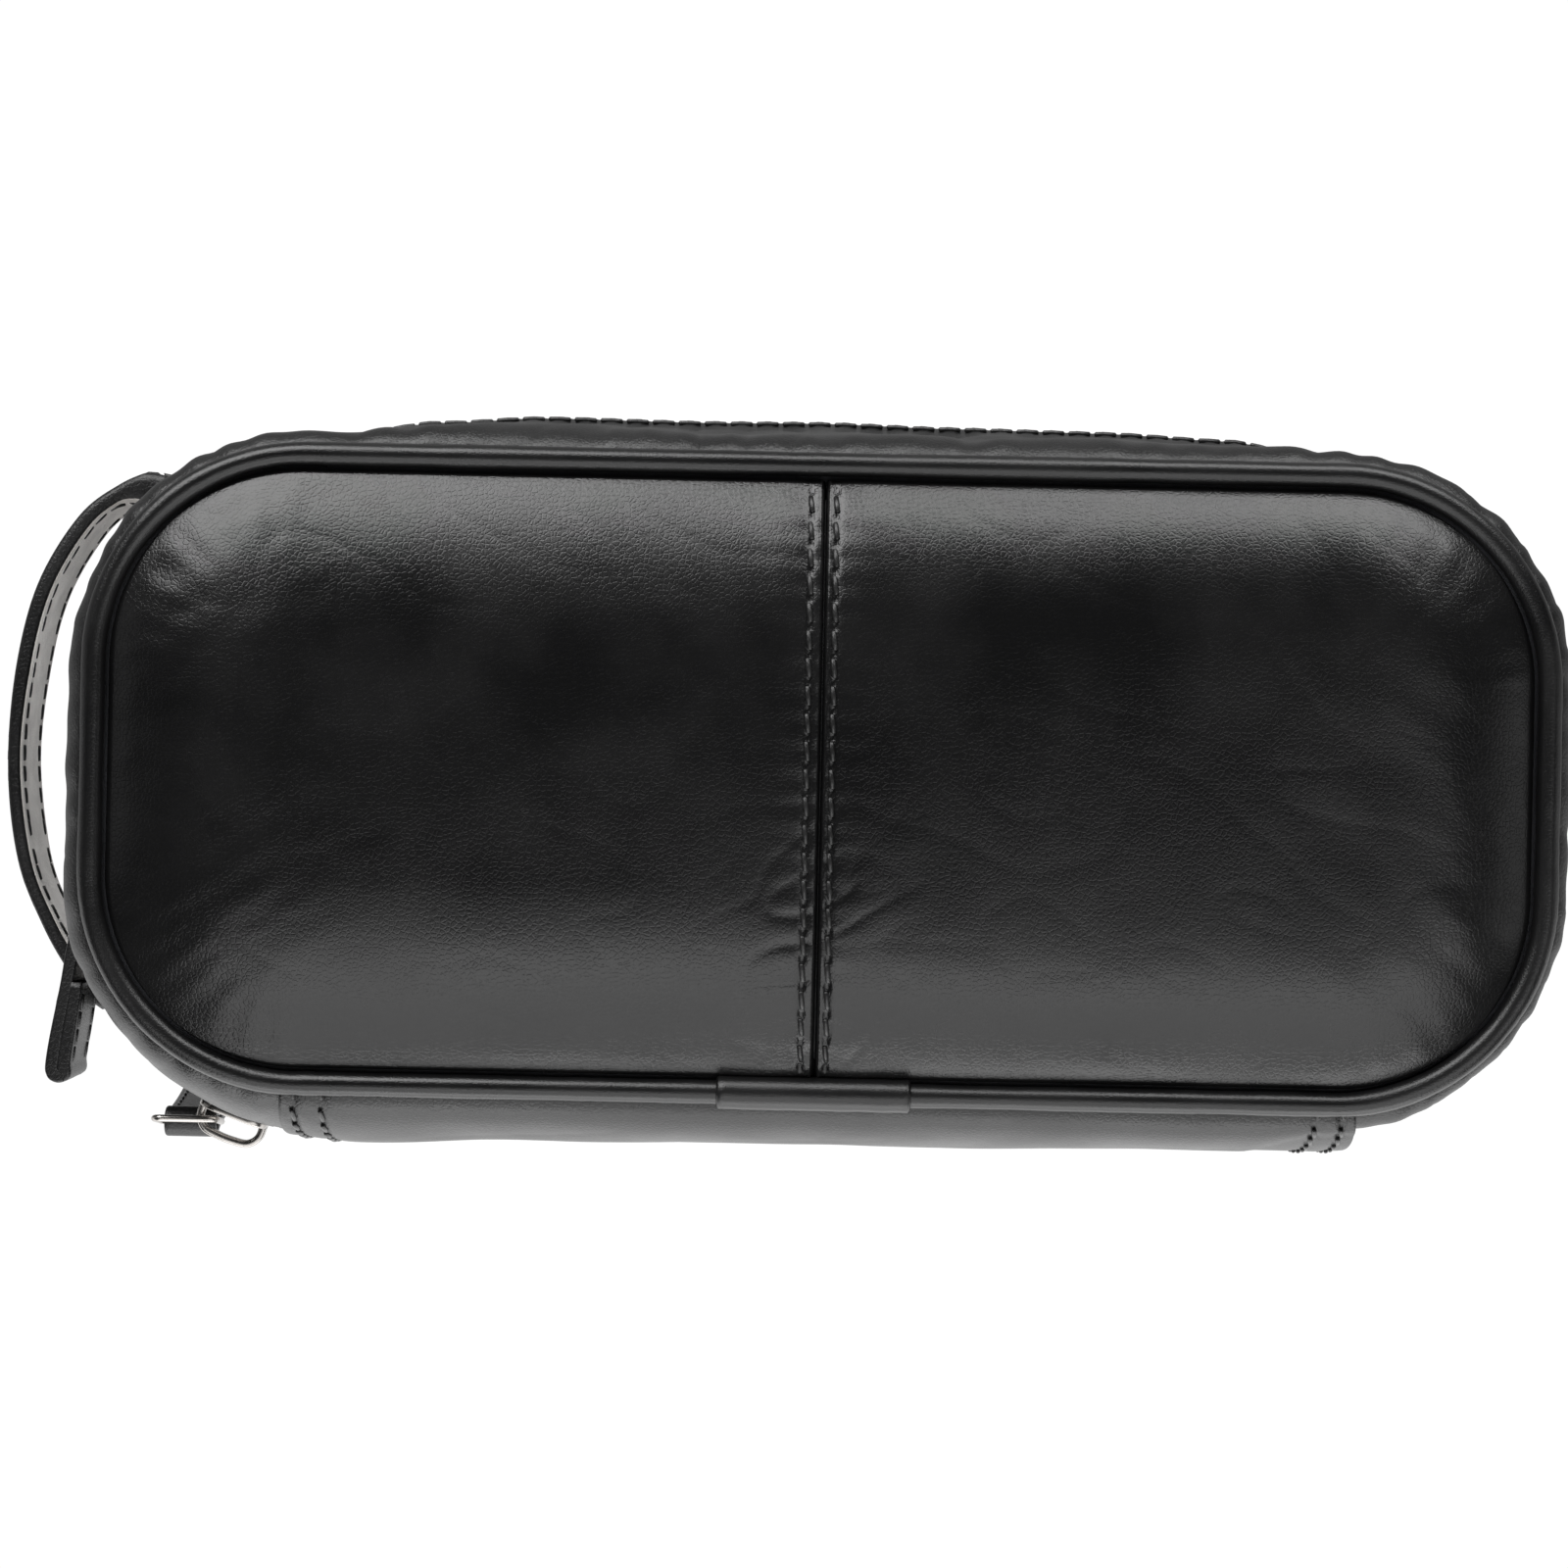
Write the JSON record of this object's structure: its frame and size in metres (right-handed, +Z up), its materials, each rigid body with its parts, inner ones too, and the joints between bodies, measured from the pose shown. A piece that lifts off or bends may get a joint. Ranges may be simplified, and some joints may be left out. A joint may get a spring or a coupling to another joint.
{
  "type": "makeup bag",
  "caption": "Zip-round leather makeup bag with piped padded panels, a hinged lid, a zip slider with a leather pull, a side hand strap and a grab tab.",
  "frame": {"origin": "centre of the whole object's bounding box, on the surface that the back panel lies on", "axes": "+Z up through the front panel, +X along the length away from the hand strap, +Y from the hinge side towards the opening side"},
  "size_m": [0.2882, 0.1342, 0.1015],
  "materials": {
    "leather": "smooth semi-gloss black cowhide with a fine grain",
    "piping": "glossy black leather rolled over a cord",
    "strap": "black grain outside, pale grey suede inside",
    "zip_tape": "black herringbone polyester tape",
    "zip_coil": "black nylon coil",
    "lining": "charcoal twill lining",
    "board": "stiffening board",
    "foam": "thin padding",
    "nickel": "polished nickel plate"
  },
  "bodies": {
    "base": {"back_panel_left": "leather", "back_panel_right": "leather", "back_seam_tape": "zip_tape", "back_board": "board", "back_piping": "piping", "back_piping_sleeve": "leather", "base_gusset": "leather", "base_spine": "leather", "base_zip_tape": "zip_tape", "base_zip_coil": "zip_coil", "base_lining": "lining", "inner_pocket": "lining", "pocket_binding": "leather", "strap_anchor_upper": "leather", "strap_anchor_lower": "leather"},
    "lid": {"front_panel_left": "leather", "front_panel_right": "leather", "front_seam_tape": "zip_tape", "front_padding": "foam", "front_piping": "piping", "front_piping_sleeve": "leather", "lid_gusset": "leather", "lid_spine": "leather", "lid_zip_tape": "zip_tape", "lid_zip_coil": "zip_coil", "lid_lining": "lining"},
    "hand_strap": {"hand_strap": "strap"},
    "grab_tab": {"grab_tab": "leather"},
    "slider": {"slider_body": "nickel", "slider_bridge": "nickel"},
    "pull_loop": {"pull_loop": "nickel"},
    "leather_pull": {"leather_pull": "leather"}
  },
  "joints": [
    {"name": "lid_hinge", "type": "hinge", "parent": "base", "child": "lid", "pos_m": [0, -0.06378, 0.0472], "axis": [1, 0, 0], "range_deg": [0, 120]},
    {"name": "slider_travel", "type": "hinge", "parent": "base", "child": "slider", "pos_m": [-0.08127, -0.01628, 0.0472], "axis": [0, 0, -1], "range_deg": [0, 12]},
    {"name": "loop_swing", "type": "hinge", "parent": "slider", "child": "pull_loop", "pos_m": [-0.10066, -0.06276, 0.0472], "axis": [0, 0.1392, 0.9903], "range_deg": [0, 60]},
    {"name": "pull_swing", "type": "hinge", "parent": "pull_loop", "child": "leather_pull", "pos_m": [-0.10631, -0.06371, 0.04042], "axis": [-1, 0, 0], "range_deg": [0, 70]},
    {"name": "strap_flex", "type": "hinge", "parent": "base", "child": "hand_strap", "pos_m": [-0.12108, 0.00847, 0.015], "axis": [0.1054, 0.9944, 0], "range_deg": [-10, 15], "stiffness_Nm_per_rad": 0.05},
    {"name": "tab_flex", "type": "hinge", "parent": "base", "child": "grab_tab", "pos_m": [-0.12998, -0.02663, 0.0386], "axis": [0, 0, -1], "range_deg": [-15, 60], "stiffness_Nm_per_rad": 0.02}
  ]
}
